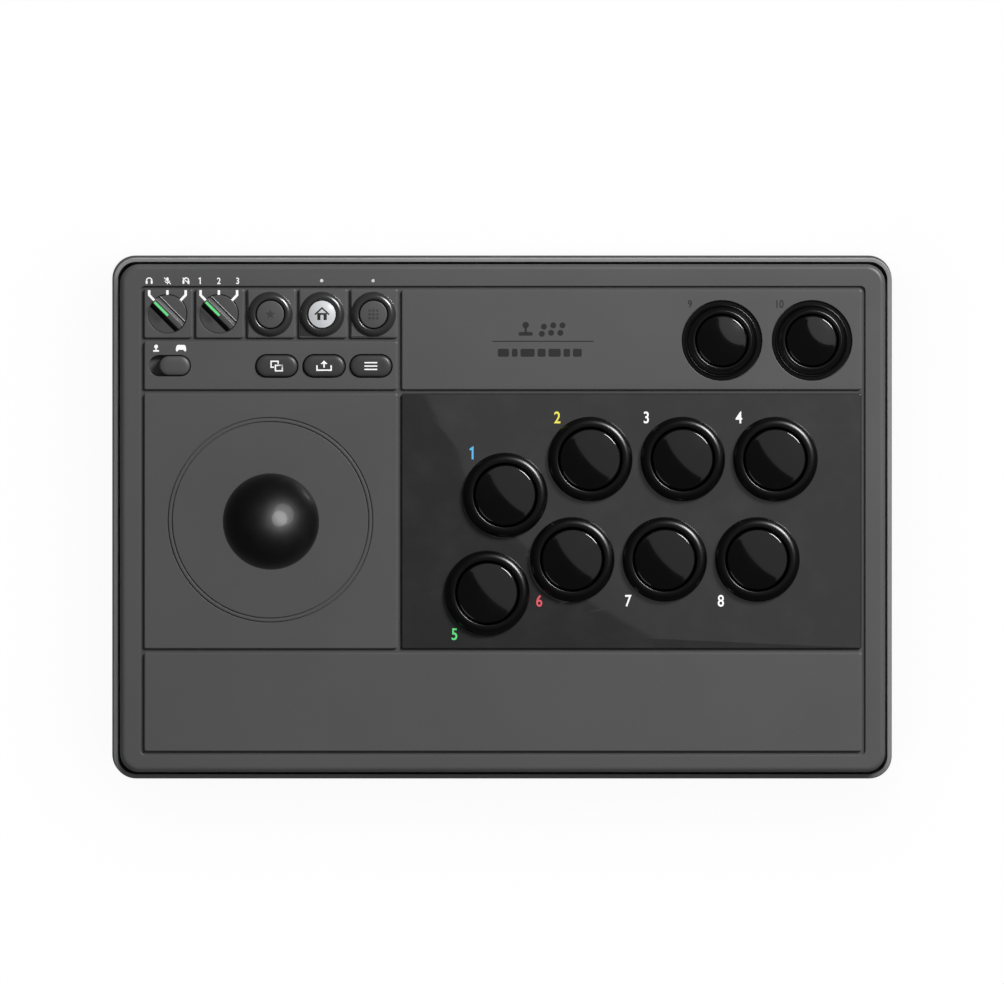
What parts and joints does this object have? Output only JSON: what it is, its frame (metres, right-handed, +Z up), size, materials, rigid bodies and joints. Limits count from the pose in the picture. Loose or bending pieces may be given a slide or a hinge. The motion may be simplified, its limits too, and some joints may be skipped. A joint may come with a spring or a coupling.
{
  "type": "arcade joystick panel",
  "caption": "Desk-top arcade stick: flat case with a ball-top lever, round play buttons, turn selectors, small keys and a slide switch.",
  "frame": {"origin": "centre of the rubber mat's underside", "axes": "+X to the player's right, +Y away from the player, +Z up"},
  "size_m": [0.303, 0.203, 0.1107],
  "materials": {
    "case_plastic": "fine satin texture",
    "faceplate_gloss": "satin gloss",
    "mat_rubber": "matt, ribbed",
    "ballast_steel": "zinc plated",
    "screw_steel": "plated",
    "button_gloss": "polished",
    "ball_gloss": "polished",
    "key_plastic": "satin",
    "lit_white": "translucent",
    "board_laminate": "solder mask",
    "silicone": "matt",
    "switch_black": "matt",
    "housing_black": "matt",
    "nylon_white": "satin",
    "gate_smoke": "clear smoked",
    "socket_metal": "bright",
    "battery_wrap": "shrink wrap",
    "lead_jacket": "smooth"
  },
  "bodies": {
    "case": {"bottom_shell": "case_plastic", "top_shell": "case_plastic", "button_faceplate": "faceplate_gloss", "base_mat": "mat_rubber", "ballast_plate": "ballast_steel", "lever_plate": "ballast_steel", "case_screws": "screw_steel", "machine_screws": "screw_steel", "button_body_1": "button_gloss", "button_body_2": "button_gloss", "button_body_3": "button_gloss", "button_body_4": "button_gloss", "button_body_5": "button_gloss", "button_body_6": "button_gloss", "button_body_7": "button_gloss", "button_body_8": "button_gloss", "small_button_bodies": "button_gloss", "light_pipes": "lit_white", "control_board": "board_laminate", "main_board": "board_laminate", "lever_board": "board_laminate", "keypad_membrane": "silicone", "button_switches": "switch_black", "control_switches": "switch_black", "lever_switches": "switch_black", "audio_jack": "switch_black", "lever_housing": "housing_black", "lever_gate": "gate_smoke", "usb_socket": "socket_metal", "battery_pack": "battery_wrap", "lever_lead": "lead_jacket"},
    "lever_ring": {"pivot_ring": "nylon_white"},
    "lever": {"pivot_ball": "nylon_white", "stick_shaft": "screw_steel", "shaft_cover": "housing_black", "ball_top": "ball_gloss", "centring_spring": "screw_steel", "actuator": "nylon_white", "retaining_clip": "screw_steel"},
    "slip_washer": {"under_washer": "housing_black"},
    "dust_cover": {"dust_washer": "housing_black"},
    "button_1": {"plunger_1": "button_gloss"},
    "button_2": {"plunger_2": "button_gloss"},
    "button_3": {"plunger_3": "button_gloss"},
    "button_4": {"plunger_4": "button_gloss"},
    "button_5": {"plunger_5": "button_gloss"},
    "button_6": {"plunger_6": "button_gloss"},
    "button_7": {"plunger_7": "button_gloss"},
    "button_8": {"plunger_8": "button_gloss"},
    "button_9": {"plunger_9": "button_gloss"},
    "button_10": {"plunger_10": "button_gloss"},
    "star": {"star_key": "key_plastic"},
    "home": {"home_key": "lit_white"},
    "grid": {"grid_key": "key_plastic"},
    "view": {"view_key": "key_plastic"},
    "share": {"share_key": "key_plastic"},
    "menu": {"menu_key": "key_plastic"},
    "audio_selector": {"audio_knob": "key_plastic"},
    "stick_mode_selector": {"stick_mode_knob": "key_plastic"},
    "mode_switch": {"mode_slider": "key_plastic"}
  },
  "joints": [
    {"name": "lever_tilt_fore_aft", "type": "hinge", "parent": "case", "child": "lever_ring", "pos_m": [-0.0904, -0.0007, 0.034], "axis": [1, 0, 0], "range_deg": [-9, 9], "stiffness_Nm_per_rad": 1.2},
    {"name": "lever_tilt_left_right", "type": "hinge", "parent": "lever_ring", "child": "lever", "pos_m": [-0.0904, -0.0007, 0.034], "axis": [0, 1, 0], "range_deg": [-9, 9], "stiffness_Nm_per_rad": 1.2},
    {"name": "washer_slide_left_right", "type": "slide", "parent": "case", "child": "slip_washer", "axis": [1, 0, 0], "range_m": [-0.0028, 0.0028]},
    {"name": "washer_slide_fore_aft", "type": "slide", "parent": "slip_washer", "child": "dust_cover", "axis": [0, 1, 0], "range_m": [-0.0031, 0.0031]},
    {"name": "press_1", "type": "slide", "parent": "case", "child": "button_1", "axis": [0, 0, 1], "range_m": [-0.003, 0], "stiffness_N_per_m": 250, "springref_m": 0.002},
    {"name": "press_2", "type": "slide", "parent": "case", "child": "button_2", "axis": [0, 0, 1], "range_m": [-0.003, 0], "stiffness_N_per_m": 250, "springref_m": 0.002},
    {"name": "press_3", "type": "slide", "parent": "case", "child": "button_3", "axis": [0, 0, 1], "range_m": [-0.003, 0], "stiffness_N_per_m": 250, "springref_m": 0.002},
    {"name": "press_4", "type": "slide", "parent": "case", "child": "button_4", "axis": [0, 0, 1], "range_m": [-0.003, 0], "stiffness_N_per_m": 250, "springref_m": 0.002},
    {"name": "press_5", "type": "slide", "parent": "case", "child": "button_5", "axis": [0, 0, 1], "range_m": [-0.003, 0], "stiffness_N_per_m": 250, "springref_m": 0.002},
    {"name": "press_6", "type": "slide", "parent": "case", "child": "button_6", "axis": [0, 0, 1], "range_m": [-0.003, 0], "stiffness_N_per_m": 250, "springref_m": 0.002},
    {"name": "press_7", "type": "slide", "parent": "case", "child": "button_7", "axis": [0, 0, 1], "range_m": [-0.003, 0], "stiffness_N_per_m": 250, "springref_m": 0.002},
    {"name": "press_8", "type": "slide", "parent": "case", "child": "button_8", "axis": [0, 0, 1], "range_m": [-0.003, 0], "stiffness_N_per_m": 250, "springref_m": 0.002},
    {"name": "press_9", "type": "slide", "parent": "case", "child": "button_9", "axis": [0, 0, 1], "range_m": [-0.003, 0], "stiffness_N_per_m": 250, "springref_m": 0.002},
    {"name": "press_10", "type": "slide", "parent": "case", "child": "button_10", "axis": [0, 0, 1], "range_m": [-0.003, 0], "stiffness_N_per_m": 250, "springref_m": 0.002},
    {"name": "press_star", "type": "slide", "parent": "case", "child": "star", "axis": [0, 0, 1], "range_m": [-0.001, 0], "stiffness_N_per_m": 600, "springref_m": 0.0008},
    {"name": "press_home", "type": "slide", "parent": "case", "child": "home", "axis": [0, 0, 1], "range_m": [-0.001, 0], "stiffness_N_per_m": 600, "springref_m": 0.0008},
    {"name": "press_grid", "type": "slide", "parent": "case", "child": "grid", "axis": [0, 0, 1], "range_m": [-0.001, 0], "stiffness_N_per_m": 600, "springref_m": 0.0008},
    {"name": "press_view", "type": "slide", "parent": "case", "child": "view", "axis": [0, 0, 1], "range_m": [-0.001, 0], "stiffness_N_per_m": 600, "springref_m": 0.0008},
    {"name": "press_share", "type": "slide", "parent": "case", "child": "share", "axis": [0, 0, 1], "range_m": [-0.001, 0], "stiffness_N_per_m": 600, "springref_m": 0.0008},
    {"name": "press_menu", "type": "slide", "parent": "case", "child": "menu", "axis": [0, 0, 1], "range_m": [-0.001, 0], "stiffness_N_per_m": 600, "springref_m": 0.0008},
    {"name": "turn_audio", "type": "hinge", "parent": "case", "child": "audio_selector", "pos_m": [-0.1304, 0.0794, 0.05], "axis": [0, 0, 1], "range_deg": [-90, 0]},
    {"name": "turn_stick_mode", "type": "hinge", "parent": "case", "child": "stick_mode_selector", "pos_m": [-0.1104, 0.0794, 0.05], "axis": [0, 0, 1], "range_deg": [-90, 0]},
    {"name": "slide_mode", "type": "slide", "parent": "case", "child": "mode_switch", "axis": [1, 0, 0], "range_m": [-0.0037, 0]}
  ],
  "couplings": [
    {"joint": "washer_slide_left_right", "follows": "lever_tilt_left_right", "m_per_rad": 0.0172},
    {"joint": "washer_slide_fore_aft", "follows": "lever_tilt_fore_aft", "m_per_rad": -0.0188}
  ]
}
